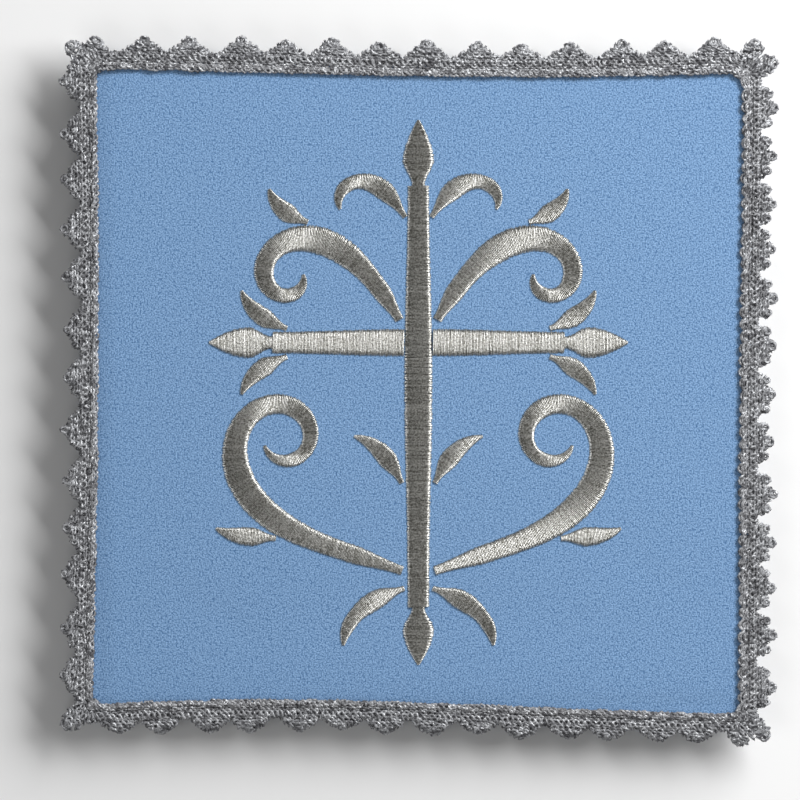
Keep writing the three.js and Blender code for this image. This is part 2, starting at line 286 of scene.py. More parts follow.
def crepe_finish():
    """Matt crepe: a fine fibre, with painted light on its pebbles and painted shade in its hollows."""
    material, start = new_material("crepe")
    place_on = start.node("ShaderNodeTexCoord", output="Object")
    pebbles = start.node("ShaderNodeAttribute", {"attribute_name": "pebbles"}, output="Fac")
    grain = start.node(
        "ShaderNodeTexNoise",
        {"noise_dimensions": "2D"},
        {"Vector": place_on, "Scale": GRAIN_SCALE, "Detail": 1.0},
    )
    crinkle = start.node(
        "ShaderNodeTexVoronoi",
        {"voronoi_dimensions": "2D"},
        {"Vector": place_on, "Scale": CRINKLE_SCALE},
    )
    # The tone follows the crepe's height over a random grain: painted light where it rises, painted shade
    # where it sinks.
    tone = 0.5 + PEBBLE_PAINTED_LIGHT * pebbles + GRAIN_TONE_AND_SHADE * (grain - 0.5)
    tone = tone + CRINKLE_TONE_AND_SHADE * (CRINKLE_MIDDLE - crinkle)
    bump = start.node(
        "ShaderNodeBump", None, {"Strength": 0.4, "Distance": 0.0001, "Height": grain - crinkle}
    )
    shader = start.node("ShaderNodeBsdfPrincipled", None, {
        "Base Color": mixed(tone, CREPE_DEEP_AND_SHADED, CREPE_PALE_AND_LIT),
        "Roughness": 0.85,
        "Specular IOR Level": 0.25,
        "Sheen Weight": 0.15,
        "Sheen Roughness": 0.5,
        "Normal": bump,
    })
    start.node("ShaderNodeOutputMaterial", None, {"Surface": shader})
    return material


panel = crepe_panel()
panel.data.materials.append(crepe_finish())
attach(panel, "root")
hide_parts("cloth_panel")


# Lace edging
# Four lengths of machine lace in flat metal strip twisted round a thread, whipped to the panel's
# margin and eased around its corners: close rows of looped stitches, stepped up into scallops.
HEADING_WIDTH = 5.4
HEADING_FULLNESS = 0.25  # share by which the heading widens around a corner
TURNING_RADIUS = 6.0  # where the lace keeps its length around a corner
SCALLOP_SHIFT = 0.7  # how far a scallop is pushed along, and how much its depth varies
SCALLOP_UNEVEN = 0.5
SIDE_SEEDS = 20  # numbers set aside for each side's unevenness
LACE_SEED = 11
STRIP_WIDTH = 1.0
STRIP_THICKNESS = 0.6
STRIP_TWIST = 1.5  # length of a full turn
STRIP_STEP = 0.3
STRIP_SIDES = 3  # flat facets, which glint
# The strip's colour is painted from cell to cell: light as glints of reflection, dark as shaded facets.
STRIP_PAINTED_GLINT = (0.54, 0.55, 0.57, 1.0)
STRIP_PAINTED_SHADE = (0.11, 0.11, 0.12, 1.0)
STRIP_ROUGHNESS = 0.72
GLINT_SCALE = 1250
GLINT_SHINE = 0.3  # how much smoother the brightest strip is
LOOP_STEPS = 12  # points around one loop of a path
LOOP_UNEVEN = 0.21
LIFT_LEAD = 0.8  # radians by which the lift of a loop runs ahead of its swing
ROW_SLIP = 0.8  # how far a row of loops wanders along, out and up
ROW_SWAY = 0.6
ROW_RISE = 5
# Rows of the heading: how far out each runs, its loops to a scallop, and their size and phase. The
# first two make the inner edge, in rings or plain.
EDGE_ROWS = {
    "ringed": [
        {"out": 1.30, "loops": 4, "across": 0.85, "along": 0.50, "lift": 0.08, "phase": 0.0},
        {"out": 1.48, "loops": 4, "across": 0.52, "along": 0.46, "lift": 0.10, "phase": 0.0},
    ],
    "plain": [
        {"out": 1.05, "loops": 8, "across": 0.45, "along": 0.42, "lift": 0.12, "phase": 0.0},
        {"out": 1.40, "loops": 8, "across": 0.45, "along": 0.42, "lift": 0.12, "phase": 0.5},
    ],
}
STITCH_ROWS = [
    {"out": 1.80, "loops": 8, "across": 0.35, "along": 0.42, "lift": 0.10, "phase": 0.0},
    {"out": 2.25, "loops": 8, "across": 0.25, "along": 0.30, "lift": 0.08, "phase": 0.0},
    {"out": 3.00, "loops": 8, "across": 0.40, "along": 0.40, "lift": 0.08, "phase": 0.5},
    {"out": 4.00, "loops": 8, "across": 0.80, "along": 0.48, "lift": 0.12, "phase": 0.0},
    {"out": 4.60, "loops": 8, "across": 0.40, "along": 0.40, "lift": 0.10, "phase": 0.5},
]
LOBE_LOOP = {"loops": 8, "across": 0.42, "along": 0.46, "lift": 0.12}  # in any phase
LOBE_ROW = 5.2  # how far out the rows of the scallops start
LOBE_ROW_STEP = 0.7
LOBE_ROW_INSET = 0.5  # from a row to the edge of its lobe
RING_LIFT = 0.15
RING_UNEVEN = 0.105  # share by which a ring's two radii vary
SHORTEST_ROW = 0.6  # half the length of the row at a lobe's tip
STANDING_WIDTH = 1.6  # of the inner edge that stands up or lies lower
GROUND_PITCH = 1.05  # of the thread that goes in and out under all the rows
GROUND_INNER = 0.9  # how far out its inner turns lie
GROUND_INSET = 0.35  # from its outer turns to the lace's edge
GROUND_HEIGHT = 0.27
GROUND_UNEVEN = 0.08
# Heights of the rows, by how far out they run, or by their share of a scallop's reach.
HEADING_HEIGHTS = ((0.5, 0.60), (1.4, 0.90), (2.9, 0.50), (3.9, 0.85), (4.7, 0.60))
SCALLOP_HEIGHTS = ((0.0, 0.62), (0.5, 0.75), (1.0, 0.40))

# Lobes of a scallop: their place along it, share of its depth, half width and roundness. Their
# stitches start from a foot at a share of their own depth, and they may end in a ring.
SCALLOP_FORMS = {
    "trefoil": [
        {"off": 0, "share": 0.55, "half_width": 5.4, "roundness": 8, "foot": 0, "ring": 0},
        {"off": 0, "share": 1, "half_width": 2.6, "roundness": 2.5, "foot": 0.38, "ring": 0.85},
        {"off": -3.6, "share": 0.67, "half_width": 1.8, "roundness": 2.5, "foot": 0.42, "ring": 0.65},
        {"off": 3.6, "share": 0.67, "half_width": 1.8, "roundness": 2.5, "foot": 0.42, "ring": 0.65},
    ],
    "hill": [
        {"off": 0, "share": 0.78, "half_width": 6.1, "roundness": 1.5, "foot": 0, "ring": 0},
        {"off": 0, "share": 1, "half_width": 3.1, "roundness": 3, "foot": 0.4, "ring": 1.0},
    ],
    "hump": [
        {"off": 0, "share": 0.95, "half_width": 5.2, "roundness": 1.9, "foot": 0, "ring": 0},
        {"off": 0, "share": 1, "half_width": 2.4, "roundness": 2.5, "foot": 0.5, "ring": 0.7},
    ],
    "block": [
        {"off": 0, "share": 0.65, "half_width": 5.3, "roundness": 3.5, "foot": 0, "ring": 0},
        {"off": 0, "share": 1, "half_width": 2.7, "roundness": 2.2, "foot": 0.4, "ring": 0.8},
    ],
}
EAR_LOBE = {"depth": 3.4, "half_width": 3.0, "roundness": 1.7, "foot": 0, "ring": 0.9}

# The lace of the top, right, bottom and left: its scallops, the degrees that it is swept around the
# corners, with an ear at a smaller angle, or none, and how it lies. Its inner edge rounds the corners
# and stands up from the cloth or lies lower, and its scallops may curl down away from it.
LACE_ROWS = [
    {
        "scallops": 13, "first": 11.4, "last": 153.9, "form": "hill", "depth": 4.1, "falls": 0,
        "sweeps": (26, 45), "ears": (3, 21), "rounds": (1.2, 3.4), "edge": "plain", "stands": 0.1,
    },
    {
        "scallops": 13, "first": 8.1, "last": 152.4, "form": "trefoil", "depth": 4.4, "falls": 0,
        "sweeps": (45, 63), "ears": (20, 39), "rounds": (3.4, 1.0), "edge": "ringed", "stands": 0.15,
    },
    {
        "scallops": 14, "first": 9.1, "last": 154.6, "form": "hump", "depth": 3.3, "falls": 0.13,
        "sweeps": (27, 80), "ears": (3, 52), "rounds": (1.0, 2.0), "edge": "plain", "stands": -0.1,
    },
    {
        "scallops": 13, "first": 6.5, "last": 155.0, "form": "block", "depth": 4.3, "falls": 0,
        "sweeps": (10, 64), "ears": (None, 41), "rounds": (2.0, 1.2), "edge": "plain", "stands": -0.45,
    },
]


def uneven(number):
    """A repeatable unevenness between -1 and 1."""
    return math.sin(12.9 * number + 4.1 * math.sin(7.7 * number))


def side_points(side, distance, out):
    """Points at distances along a side and out from its edge. Past a corner the way out turns."""
    on_edge = np.clip(distance, 0, side["length"])
    turn = (on_edge - distance) / TURNING_RADIUS
    out_x, out_y = side["outward"]
    way_out = np.stack((
        out_x * np.cos(turn) - out_y * np.sin(turn),
        out_x * np.sin(turn) + out_y * np.cos(turn),
    ), -1)
    inward = drawn_in(side, on_edge / side["length"])
    edge = side["start"] + on_edge[:, None] * side["along"] - inward[:, None] * side["outward"]
    return edge + out[:, None] * way_out


def heading_fullness(side, distance):
    """How much wider the heading is where it turns a corner."""
    past = np.maximum(0, np.maximum(-distance, distance - side["length"])) / TURNING_RADIUS
    return 1 + HEADING_FULLNESS * np.sin(2 * past)


def rounded_in(side, row, distance):
    """How far the lace's inner edge is drawn in to round the corners at its ends."""
    total = 0
    for radius, past in zip(row["rounds"], (-distance, distance - side["length"])):
        turn = np.maximum(past, 0) / TURNING_RADIUS
        reach = np.sin(turn) + np.cos(turn)
        near = np.clip(1 + past / radius, 0, 1)
        total += radius * (reach - np.sqrt(reach**2 - near**2))
    return total


def scallop_pitch(row):
    return (row["last"] - row["first"]) / (row["scallops"] - 1)


def lace_lobes(side, index, row):
    """The lobes of a side's scallops and ears: where each lies, how far it stands out and its form."""
    pitch = scallop_pitch(row)
    lobes = []
    for k in range(row["scallops"]):
        seed = k + SIDE_SEEDS * index
        at = row["first"] + k * pitch + SCALLOP_SHIFT * uneven(seed)
        depth = row["depth"] + SCALLOP_UNEVEN * uneven(seed + 0.5)
        for lobe in SCALLOP_FORMS[row["form"]]:
            lobes.append({**lobe, "at": at + lobe["off"], "depth": depth * lobe["share"]})
    start_ear, end_ear = row["ears"]
    if start_ear is not None:
        lobes.append({**EAR_LOBE, "at": -TURNING_RADIUS * math.radians(start_ear)})
    if end_ear is not None:
        lobes.append({**EAR_LOBE, "at": side["length"] + TURNING_RADIUS * math.radians(end_ear)})
    return lobes


def lace_reach(lobes, distance):
    """How far out the lace reaches at distances along its side."""
    reach = np.zeros_like(distance)
    for lobe in lobes:
        across = np.abs(distance - lobe["at"]) / lobe["half_width"]
        reach = np.maximum(reach, lobe["depth"] * (1 - across ** lobe["roundness"]))
    return HEADING_WIDTH + reach


def looped_row(first, last, out, loop, row, rng):
    """Distances along, distances out and lifts along one row of loops, in step with the scallops."""
    pitch = scallop_pitch(row) / loop["loops"]
    count = max(1, round(abs(last - first) / pitch))
    steps = np.linspace(0, count, count * LOOP_STEPS + 1)
    along, slip, across, sway, rise = (
        np.interp(steps, range(count + 1), rng.normal(0, LOOP_UNEVEN, count + 1)) for _ in range(5)
    )
    travel = first + (last - first) * steps / count
    turn = 2 * np.pi * ((travel - row["first"]) / pitch + loop["phase"])
    distance = travel + loop["along"] * (1 + along) * np.sin(turn) + ROW_SLIP * slip
    out = out - loop["across"] * (1 + across) * np.cos(turn) + ROW_SWAY * sway
    lift = loop["lift"] * (np.cos(turn + LIFT_LEAD) + ROW_RISE * rise)
    return np.column_stack((distance, out, lift))


def lobe_rows(lobe, row, rng):
    """The thread of one lobe, going to and fro in shorter and shorter rows, then round its ring."""
    foot = LOBE_ROW + lobe["foot"] * lobe["depth"]
    tip = HEADING_WIDTH + lobe["depth"] - LOBE_ROW_INSET
    rows = []
    way = 1
    for out in np.arange(foot, tip - lobe["ring"], LOBE_ROW_STEP):
        share = max(0, (out + LOBE_ROW_INSET - HEADING_WIDTH) / lobe["depth"])
        half = lobe["half_width"] * (1 - share) ** (1 / lobe["roundness"]) - LOBE_ROW_INSET
        half = way * max(SHORTEST_ROW, half)
        loop = {**LOBE_LOOP, "phase": rng.random()}
        rows.append(looped_row(lobe["at"] - half, lobe["at"] + half, out, loop, row, rng))
        way = -way
    if lobe["ring"]:
        turn = np.linspace(0, 2 * np.pi, LOOP_STEPS + 1)
        wide, tall = lobe["ring"] * (1 + rng.normal(0, RING_UNEVEN, 2))
        distance = lobe["at"] + wide * np.sin(turn)
        out = tip - lobe["ring"] - tall * np.cos(turn)
        rows.append(np.column_stack((distance, out, np.full_like(turn, RING_LIFT))))
    return np.concatenate(rows)


def ground_row(ends, lobes, rng):
    """The thread that goes in and out across the lace, under its rows."""
    count = round((ends[1] - ends[0]) / GROUND_PITCH)
    distance = np.linspace(*ends, 2 * count + 1) + rng.normal(0, GROUND_UNEVEN, 2 * count + 1)
    out = np.full(2 * count + 1, GROUND_INNER)
    out[1::2] = lace_reach(lobes, distance[1::2]) - GROUND_INSET
    return distance, out


def row_height(out, reach):
    """Height of the rows over the cloth."""
    heading_end = HEADING_HEIGHTS[-1][0]
    share = (out - heading_end) / (reach - heading_end)
    on_heading = np.interp(out, *zip(*HEADING_HEIGHTS))
    on_scallop = np.interp(share, *zip(*SCALLOP_HEIGHTS))
    return np.where(share < 0, on_heading, on_scallop)


def geometry_tree(name, sizes):
    """A tree of geometry nodes, and a wire from each of its named inputs."""
    tree = bpy.data.node_groups.new(name, "GeometryNodeTree")
    tree.interface.new_socket("Geometry", in_out="INPUT", socket_type="NodeSocketGeometry")
    tree.interface.new_socket("Geometry", in_out="OUTPUT", socket_type="NodeSocketGeometry")
    for size in sizes:
        kind = "NodeSocketInt" if size == "Seed" else "NodeSocketFloat"
        tree.interface.new_socket(size, in_out="INPUT", socket_type=kind)
    entry = tree.nodes.new("NodeGroupInput")
    return tree, {socket.name: Wire(tree, socket) for socket in entry.outputs if socket.name}


def finish_tree(geometry, material):
    """The tree's end: plain geometry in one material."""
    real = geometry.node("GeometryNodeRealizeInstances", None, {"Geometry": geometry})
    dressed = real.node("GeometryNodeSetMaterial", None, {"Geometry": real, "Material": material})
    dressed.node("NodeGroupOutput", None, {0: dressed})


def grow(piece, tree, sizes):
    """Runs a tree on a piece's paths and keeps the result as its plain mesh."""
    modifier = piece.modifiers.new(tree.name, "NODES")
    modifier.node_group = tree
    for item in tree.interface.items_tree:
        if item.in_out == "INPUT" and item.name in sizes:
            modifier[item.identifier] = sizes[item.name]
    depsgraph = bpy.context.evaluated_depsgraph_get()
    grown = bpy.data.meshes.new_from_object(
        piece.evaluated_get(depsgraph), preserve_all_data_layers=True, depsgraph=depsgraph
    )
    piece.modifiers.remove(modifier)
    paths = piece.data
    piece.data = grown
    bpy.data.meshes.remove(paths)


def strip_tree(material):
    """Turns paths into flat strip, twisted as it goes."""
    tree, inputs = geometry_tree("twisted_strip", ("Step", "Width", "Thickness", "Twist length"))
    start = inputs["Geometry"]
    curve = start.node("GeometryNodeMeshToCurve", None, {"Mesh": start})
    curve = start.node(
        "GeometryNodeResampleCurve", {"mode": "LENGTH"}, {"Curve": curve, "Length": inputs["Step"]}
    )
    travel = start.node("GeometryNodeSplineParameter", output="Length")
    turn = travel * start.math("DIVIDE", 2 * math.pi, inputs["Twist length"])
    curve = start.node("GeometryNodeSetCurveTilt", None, {"Curve": curve, "Tilt": turn})
    section = start.node(
        "GeometryNodeCurvePrimitiveCircle", {"mode": "RADIUS"}, {"Resolution": STRIP_SIDES, "Radius": 0.5}
    )
    flat = start.node("ShaderNodeCombineXYZ", None, {0: inputs["Width"], 1: inputs["Thickness"], 2: 1.0})
    section = start.node("GeometryNodeTransform", None, {"Geometry": section, "Scale": flat})
    strip = start.node(
        "GeometryNodeCurveToMesh", None, {"Curve": curve, "Profile Curve": section, "Fill Caps": True}
    )
    finish_tree(strip, material)
    return tree


def strip_finish():
    """Silvery flat strip in small cells, painted bright as glints or dark as shade, the bright ones
    smoother.
    """
    material, start = new_material("metal_strip")
    place_on = start.node("ShaderNodeTexCoord", output="Object")
    glint = start.node(
        "ShaderNodeTexVoronoi", None, {"Vector": place_on, "Scale": GLINT_SCALE}, output="Color"
    )
    glint = start.node("ShaderNodeSeparateColor", None, {0: glint})
    # Base colour: painted glints and painted shade in random cells.
    shader = start.node("ShaderNodeBsdfPrincipled", None, {
        "Base Color": mixed(glint, STRIP_PAINTED_SHADE, STRIP_PAINTED_GLINT),
        "Metallic": 0.5,
        "Roughness": STRIP_ROUGHNESS - GLINT_SHINE * glint,
    })
    start.node("ShaderNodeOutputMaterial", None, {"Surface": shader})
    return material


def lace_paths(side, index, row):
    """Every path of one side's lace, as points and the edges that join them."""
    rng = np.random.default_rng(LACE_SEED + index)
    start_sweep, end_sweep = (TURNING_RADIUS * math.radians(sweep) for sweep in row["sweeps"])
    ends = (-start_sweep, side["length"] + end_sweep)
    lobes = lace_lobes(side, index, row)
    heading = [*EDGE_ROWS[row["edge"]], *STITCH_ROWS]
    rows = [looped_row(*ends, stitches["out"], stitches, row, rng) for stitches in heading]
    rows += [lobe_rows(lobe, row, rng) for lobe in lobes]
    distance, out = ground_row(ends, lobes, rng)
    paths = [(distance, out, np.full(len(out), GROUND_HEIGHT))]
    for distance, out, lift in (points.T for points in rows):
        lift = lift + row["stands"] * np.clip(STANDING_WIDTH - out, 0, 1)
        paths.append((distance, out, row_height(out, lace_reach(lobes, distance)) + lift))
    points, edges, count = [], [], 0
    for distance, out, height in paths:
        distance = np.clip(distance, *ends)
        height = height - row["falls"] * np.maximum(out - HEADING_WIDTH, 0) ** 2
        inner = np.clip(1 - out / HEADING_WIDTH, 0, 1)
        out = out * heading_fullness(side, distance) - inner * rounded_in(side, row, distance)
        plan = side_points(side, distance, out)
        points.append(np.column_stack((plan, PANEL_THICKNESS + height)))
        edges += [(k, k + 1) for k in range(count, count + len(plan) - 1)]
        count += len(plan)
    return np.concatenate(points), edges


metal_strip = strip_finish()
twisted_strip = strip_tree(metal_strip)
strip_sizes = {
    "Step": STRIP_STEP * MM,
    "Width": STRIP_WIDTH * MM,
    "Thickness": STRIP_THICKNESS * MM,
    "Twist length": STRIP_TWIST * MM,
}
lace = []
for index, (side, row) in enumerate(zip(sides, LACE_ROWS)):
    points, edges = lace_paths(side, index, row)
    edging = new_piece(f"edging_{side['name']}", points, edges=edges)
    grow(edging, twisted_strip, strip_sizes)
    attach(edging, "root")
    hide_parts(f"lace_{side['name']}")
    lace.append(edging)


# Satin-stitch cross
# A floriated cross with scrolls and leaves, padded with laid thread and covered with silver
# thread stitched from edge to edge of each stroke.
STITCH_PITCH = 0.36
STITCH_RADIUS = 0.22
STITCH_SIDES = 4
STITCH_POINTS = 13  # along one stitch
STITCH_EASING = 0.3  # gathers those points near a stitch's two ends
STITCH_BASE = 0.3
STITCH_CROWN = 0.06  # further height for each millimetre of width
STITCH_FULLNESS = 9.0  # how square a stroke's shoulders are
STITCH_DOME = 0.15  # share of the crown that rises all the way to the middle
STITCH_FOOT = -0.08  # the thread goes down into the cloth
STITCH_SEED = 3
STROKE_SEEDS = 10  # numbers set aside for each stroke's stitches
# How stitches differ: shares of their width and crown, radians that they lean, and their tone.
STITCH_CHANCES = {"width": (0.96, 1.03), "crown": (0.92, 1.0), "lean": (-0.03, 0.03), "tone": (0.0, 1.0)}
SECTION_STEP = 2.3  # spacing of a stroke's sections
SECTION_FINER = 8  # points of the path to each section
FEWEST_SECTIONS = 6
POINT_EASING = 1.7  # how long a stroke stays full before its pointed tip
LEAF_GAP = 0.3
PADDING_WIDTH = 0.90  # share of the stroke's width
PADDING_HEIGHT = 0.70  # share of its crown
PADDING_EVERY = 4  # points of the path between its sections
PADDING_SECTION = (1.0, 0.94, 0.82, 0.6, 0.0, -0.6, -0.82, -0.94, -1.0)  # shares of its half width
THREAD_LIGHT = (0.77, 0.765, 0.74, 1.0)
THREAD_DARK = (0.24, 0.235, 0.205, 1.0)
THREAD_ROUGHNESS = 0.36
SPIN_ROUGHNESS = 0.12
SPIN_SCALE = 2400  # of the fine unevenness of the spun metal
SPIN_TONE = 3.0  # how much lighter the spin and a stitch's own tone make the thread, less a drop
STITCH_TONE = 0.35
TONE_DROP = 1.1

# Width of a stroke at shares of its length.
STROKE_WIDTHS = {
    "bar": ((0, 5.2), (0.45, 6.8), (1, 5.2)),
    "arm": ((0, 6.6), (1, 5.2)),
    "bud": ((0, 3.0), (0.38, 7.6), (1, 0.6)),
    "leaf": ((0, 1.2), (0.42, 4.6), (1, 0.6)),
    "curl": ((0, 1.2), (0.35, 4.8), (0.72, 3.4), (1, 0.6)),
    "scroll": ((0, 2.2), (0.14, 4.6), (0.42, 6.8), (0.72, 4.8), (0.9, 3.4), (1, 0.6)),
}
# Strokes start at x, y with a heading in degrees, and bend by degrees for each millimetre.
SINGLE_STROKES = [
    {"name": "upright", "widths": "bar", "x": 0, "y": 51, "heading": -90, "length": 105},
    {"name": "top_bud", "widths": "bud", "x": 0, "y": 51.4, "heading": 90, "length": 16},
    {"name": "foot_bud", "widths": "bud", "x": 0, "y": -54.4, "heading": -90, "length": 14},
]
PAIRED_STROKES = [
    {"name": "arm", "widths": "arm", "x": 3.8, "y": 12, "heading": 0, "length": 32.5},
    {"name": "arm_bud", "widths": "bud", "x": 36.7, "y": 12, "heading": 0, "length": 15.5},
    {
        "name": "arm_leaf_up", "widths": "leaf", "x": 33, "y": 15.6, "heading": 20, "length": 15,
        "bends": (1, 6),
    },
    {
        "name": "arm_leaf_down", "widths": "leaf", "x": 33, "y": 8.4, "heading": -20, "length": 15,
        "bends": (-1, -6),
    },
    {
        "name": "top_curl", "widths": "curl", "x": 3.4, "y": 43.5, "heading": 56, "length": 25,
        "bends": (0.5, -14.5),
    },
    {
        "name": "stem_leaf", "widths": "leaf", "x": 4.2, "y": -23, "heading": 64, "length": 17,
        "bends": (-1, -5),
    },
    {
        "name": "foot_leaf", "widths": "curl", "x": 3.7, "y": -49.5, "heading": -18, "length": 22,
        "bends": (-0.5, -6),
    },
]
SCROLL_STROKES = [
    {
        "name": "upper_scroll", "widths": "scroll", "x": 4.8, "y": 17.8, "heading": 60, "length": 64,
        "bends": (-0.6, -15), "tighten": 2,
    },
    {
        "name": "lower_scroll", "widths": "scroll", "x": 4.2, "y": -45, "heading": 20, "length": 102,
        "bends": (-0.3, 11), "tighten": 1.6,
    },
]
# Leaves that spring from a scroll, left or right of its way, at a share of its length.
SPRIG_STROKES = [
    {
        "name": "upper_leaf", "scroll": 0, "at": 0.5, "side": 1, "lean": 14, "length": 13,
        "bends": (2, 7),
    },
    {
        "name": "lower_leaf", "scroll": 1, "at": 0.3, "side": -1, "lean": -24, "length": 15,
        "bends": (-2, 5),
    },
]


def stroke_width(stops, at):
    """Width of a stroke at a share of its length, eased between its stops."""
    last = next(k for k in range(1, len(stops)) if stops[k][0] >= at)
    (from_at, from_width), (to_at, to_width) = stops[last - 1], stops[last]
    share = (at - from_at) / (to_at - from_at)
    pointed = to_width < 1
    eased = share**POINT_EASING if pointed else (1 - math.cos(math.pi * share)) / 2
    return from_width + (to_width - from_width) * eased


def stroke_sections(row):
    return max(FEWEST_SECTIONS, math.ceil(row["length"] / SECTION_STEP))


def stroke_path(row):
    """Points along the middle of a stroke as rows of x, y, heading and width."""
    count = stroke_sections(row) * SECTION_FINER
    step = row["length"] / count
    first_bend, last_bend = row.get("bends", (0, 0))
    x, y, heading = row["x"], row["y"], math.radians(row["heading"])
    path = []
    for k in range(count + 1):
        at = k / count
        path.append((x, y, heading, stroke_width(STROKE_WIDTHS[row["widths"]], at)))
        turn = math.radians(first_bend + (last_bend - first_bend) * at ** row.get("tighten", 1)) * step
        x += step * math.cos(heading + turn / 2)
        y += step * math.sin(heading + turn / 2)
        heading += turn
    return np.array(path)


def sprig(row):
    """The full row of a leaf that is rooted beside its scroll."""
    scroll = SCROLL_STROKES[row["scroll"]]
    section = math.floor(row["at"] * stroke_sections(scroll) + 0.5)
    x, y, heading, width = stroke_path(scroll)[section * SECTION_FINER]
    out = row["side"] * (width / 2 + LEAF_GAP + stroke_width(STROKE_WIDTHS["leaf"], 0) / 2)
    x, y = x - out * math.sin(heading), y + out * math.cos(heading)
    return {**row, "widths": "leaf", "x": x, "y": y, "heading": math.degrees(heading) + row["lean"]}


def mirrored(path):
    """The same stroke on the other side of the upright."""
    x, y, heading, width = path.T
    return np.column_stack((-x, y, math.pi - heading, width))


def stitch_tree(material):
    """Lays a stitch across a stroke at every pitch along its path, arched over the padding."""
    sizes = ("Pitch", "Radius", "Base", "Crown", "Easing", "Fullness", "Dome", "Seed")
    tree, inputs = geometry_tree("satin_stitches", sizes)
    start = inputs["Geometry"]
    curve = start.node("GeometryNodeMeshToCurve", None, {"Mesh": start})
    curve = start.node(
        "GeometryNodeResampleCurve", {"mode": "LENGTH"}, {"Curve": curve, "Length": inputs["Pitch"]}
    )

    def chance(name):
        low, high = STITCH_CHANCES[name]
        seed = inputs["Seed"] + (1 + list(STITCH_CHANCES).index(name))
        values = {2: low, 3: high, 8: seed}
        return start.node("FunctionNodeRandomValue", {"data_type": "FLOAT"}, values, output=1)

    def stored(name):
        return start.node("GeometryNodeInputNamedAttribute", {"data_type": "FLOAT"}, {"Name": name})

    line = start.node(
        "GeometryNodeCurvePrimitiveLine", {"mode": "POINTS"}, {"Start": (0, -1, 0), "End": (0, 1, 0)}
    )
    line = start.node(
        "GeometryNodeResampleCurve", {"mode": "COUNT"}, {"Curve": line, "Count": STITCH_POINTS}
    )
    position = start.node("GeometryNodeInputPosition")
    across = start.node("ShaderNodeSeparateXYZ", None, {0: position}, output="Y")
    spread = start.math("ABSOLUTE", across) ** inputs["Easing"]
    dome = inputs["Dome"]
    rise = 1.0 - dome * spread * spread - (1.0 - dome) * spread ** inputs["Fullness"]
    eased = spread * start.math("SIGN", across)
    lift = start.node("ShaderNodeCombineXYZ", None, {1: eased - across, 2: rise})
    arch = start.node("GeometryNodeSetPosition", None, {"Geometry": line, "Offset": lift})

    half_width = stored("half_width") * chance("width")
    crown = (inputs["Base"] + 2.0 * inputs["Crown"] * stored("half_width")) * chance("crown")
    heading = stored("heading") + chance("lean")
    stitches = start.node("GeometryNodeInstanceOnPoints", None, {
        "Points": curve,
        "Instance": arch,
        "Rotation": start.node("ShaderNodeCombineXYZ", None, {2: heading}),
        "Scale": start.node("ShaderNodeCombineXYZ", None, {0: 1.0, 1: half_width, 2: crown}),
    })
    stitches = start.node(
        "GeometryNodeStoreNamedAttribute",
        {"data_type": "FLOAT", "domain": "INSTANCE"},
        {"Geometry": stitches, "Name": "tone", "Value": chance("tone")},
    )
    real = start.node("GeometryNodeRealizeInstances", None, {"Geometry": stitches})
    section = start.node(
        "GeometryNodeCurvePrimitiveCircle",
        {"mode": "RADIUS"},
        {"Resolution": STITCH_SIDES, "Radius": inputs["Radius"]},
    )
    thread = start.node(
        "GeometryNodeCurveToMesh", None, {"Curve": real, "Profile Curve": section, "Fill Caps": True}
    )
    finish_tree(thread, material)
    return tree


def thread_finish():
    """Bright silver thread, each stitch a little lighter or darker than the next."""
    material, start = new_material("satin_thread")
    place_on = start.node("ShaderNodeTexCoord", output="Object")
    tone = start.node("ShaderNodeAttribute", {"attribute_name": "tone"}, output="Fac")
    spun = start.node(
        "ShaderNodeTexNoise", None, {"Vector": place_on, "Scale": SPIN_SCALE, "Detail": 2.0}
    )
    light = STITCH_TONE * tone + SPIN_TONE * spun - TONE_DROP
    shader = start.node("ShaderNodeBsdfPrincipled", None, {
        "Base Color": mixed(light, THREAD_DARK, THREAD_LIGHT),
        "Metallic": 0.95,
        "Roughness": THREAD_ROUGHNESS + SPIN_ROUGHNESS * spun,
    })
    start.node("ShaderNodeOutputMaterial", None, {"Surface": shader})
    return material


def padding_sections(path):
    """Points and faces of the laid thread under one stroke, a closed body."""
    x, y, heading, width = path[::PADDING_EVERY].T
    half, crown = PADDING_WIDTH * width / 2, PADDING_HEIGHT * (STITCH_BASE + STITCH_CROWN * width)
    across = np.array(PADDING_SECTION)
    rise = 1 - STITCH_DOME * across**2 - (1 - STITCH_DOME) * np.abs(across) ** STITCH_FULLNESS
    sway = half[:, None] * across
    points = np.stack((
        x[:, None] - sway * np.sin(heading)[:, None],
        y[:, None] + sway * np.cos(heading)[:, None],
        PANEL_THICKNESS + crown[:, None] * rise,
    ), -1)
    rings = np.arange(points.size // 3).reshape(points.shape[:2])
    ahead = np.roll(rings, -1, axis=1)
    faces = np.stack((rings[:-1], ahead[:-1], ahead[1:], rings[1:]), -1).reshape(-1, 4).tolist()
    faces += [rings[0, ::-1].tolist(), rings[-1].tolist()]
    return points.reshape(-1, 3), faces


strokes = {row["name"]: stroke_path(row) for row in SINGLE_STROKES}
for row in [*PAIRED_STROKES, *SCROLL_STROKES, *map(sprig, SPRIG_STROKES)]:
    path = stroke_path(row)
    strokes[f"{row['name']}_right"] = path
    strokes[f"{row['name']}_left"] = mirrored(path)

